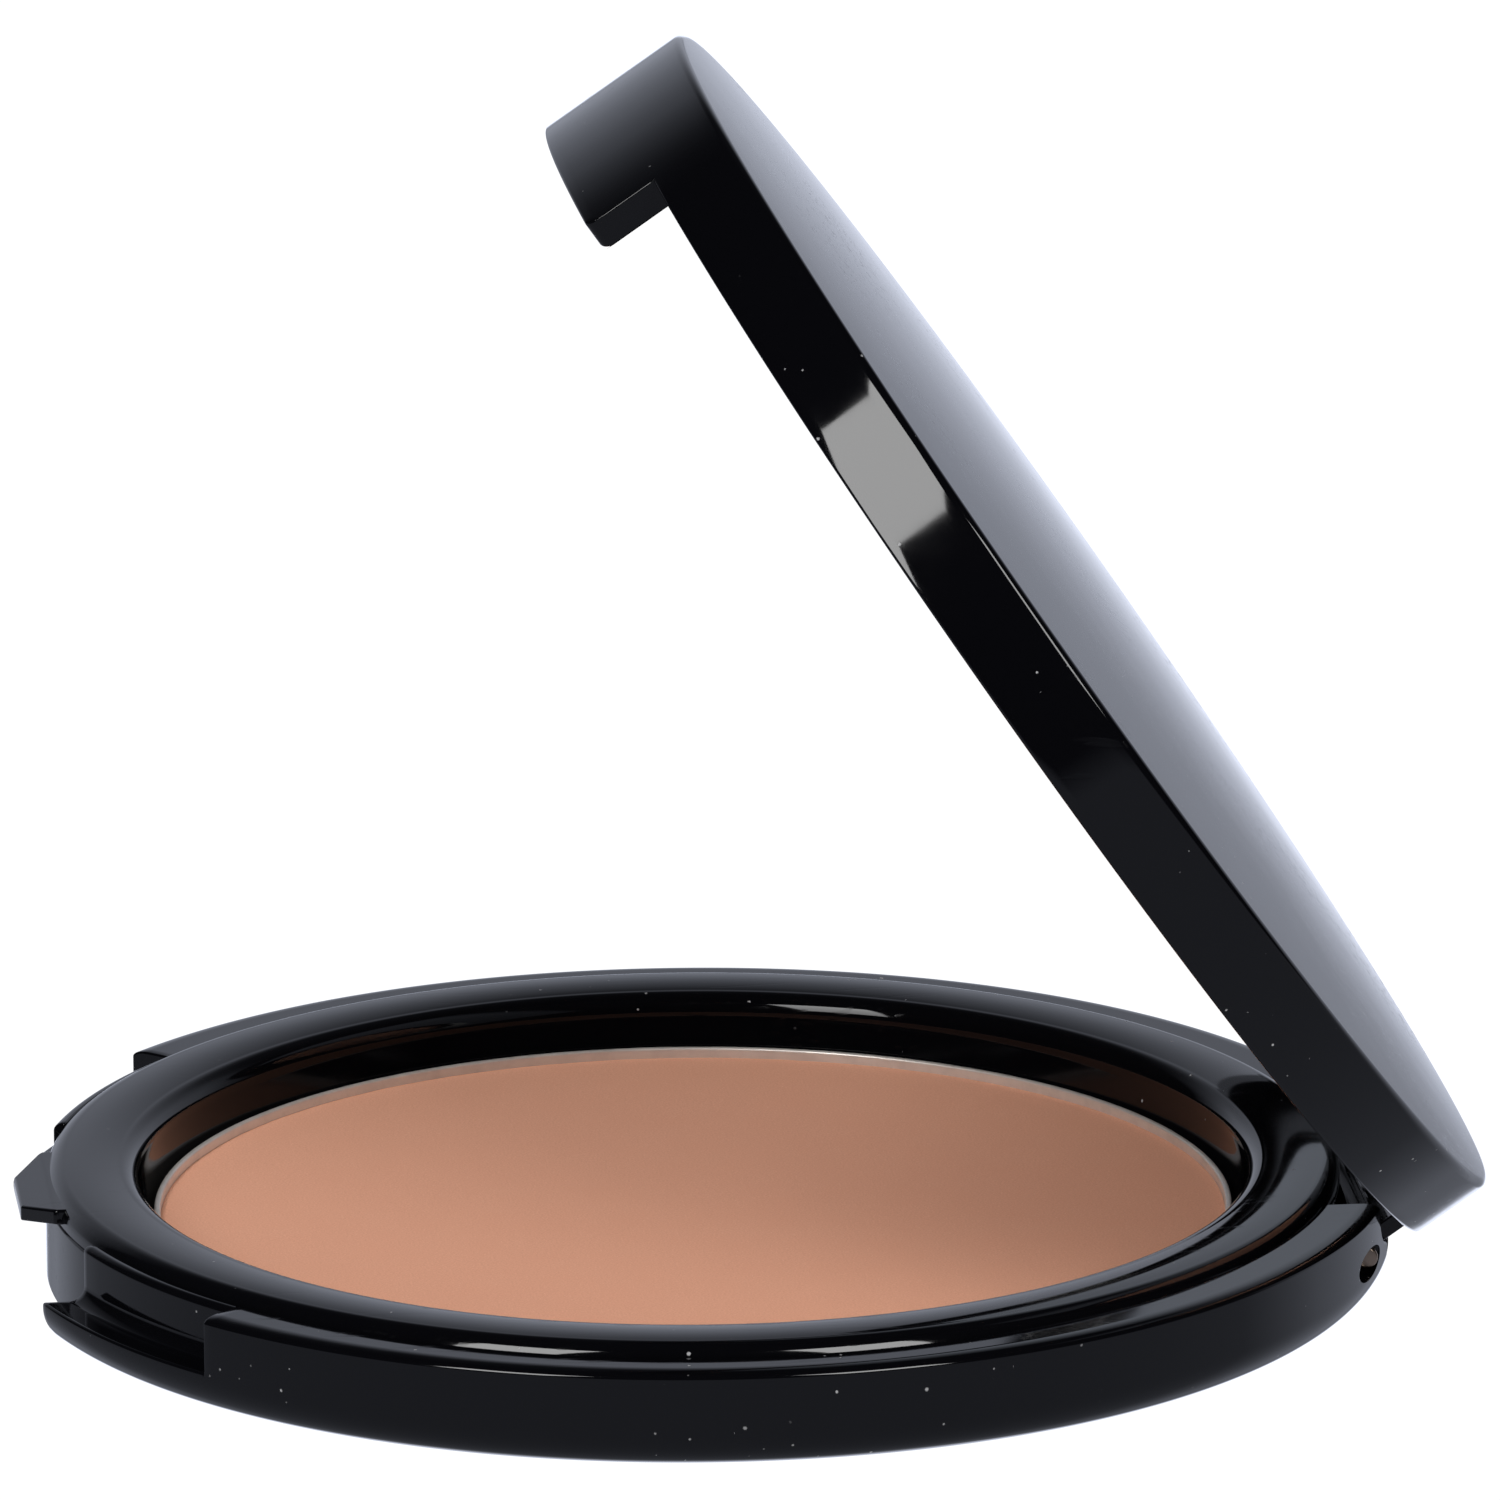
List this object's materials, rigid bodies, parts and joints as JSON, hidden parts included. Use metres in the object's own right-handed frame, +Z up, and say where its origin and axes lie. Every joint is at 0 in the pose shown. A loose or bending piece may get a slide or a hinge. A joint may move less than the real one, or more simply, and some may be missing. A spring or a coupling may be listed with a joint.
{
  "type": "powder compact",
  "caption": "Round hinged powder compact: shallow black case with a raised ring around a pan of pressed powder, and a thin lid with a front tab and a mirror inside.",
  "frame": {"origin": "centre of the base's flat underside", "axes": "+Z up out of the base, -Y towards the catch, +Y towards the hinge, X along the hinge pins"},
  "size_m": [0.0764, 0.0803, 0.0677],
  "materials": {
    "case_plastic": "polished black styrene",
    "frame_plastic": "satin black",
    "adhesive": "matt adhesive film",
    "pan_metal": "drawn, satin",
    "pressed_powder": "matt pressed powder",
    "pin_steel": "ground",
    "mirror_glass": "silvered glass"
  },
  "bodies": {
    "base": {"base_shell": "case_plastic", "bezel_ring": "case_plastic", "pan_adhesive": "adhesive", "powder_pan": "pan_metal", "powder_cake": "pressed_powder", "hinge_pin_right": "pin_steel", "hinge_pin_left": "pin_steel"},
    "lid": {"lid_shell": "case_plastic", "mirror_frame": "frame_plastic", "mirror": "mirror_glass", "mirror_adhesive": "adhesive"}
  },
  "joints": [
    {"name": "lid_hinge", "type": "hinge", "parent": "base", "child": "lid", "pos_m": [0, 0.0355, 0.00279], "axis": [-1, 0, 0], "range_deg": [-55.45, 34.5]}
  ]
}
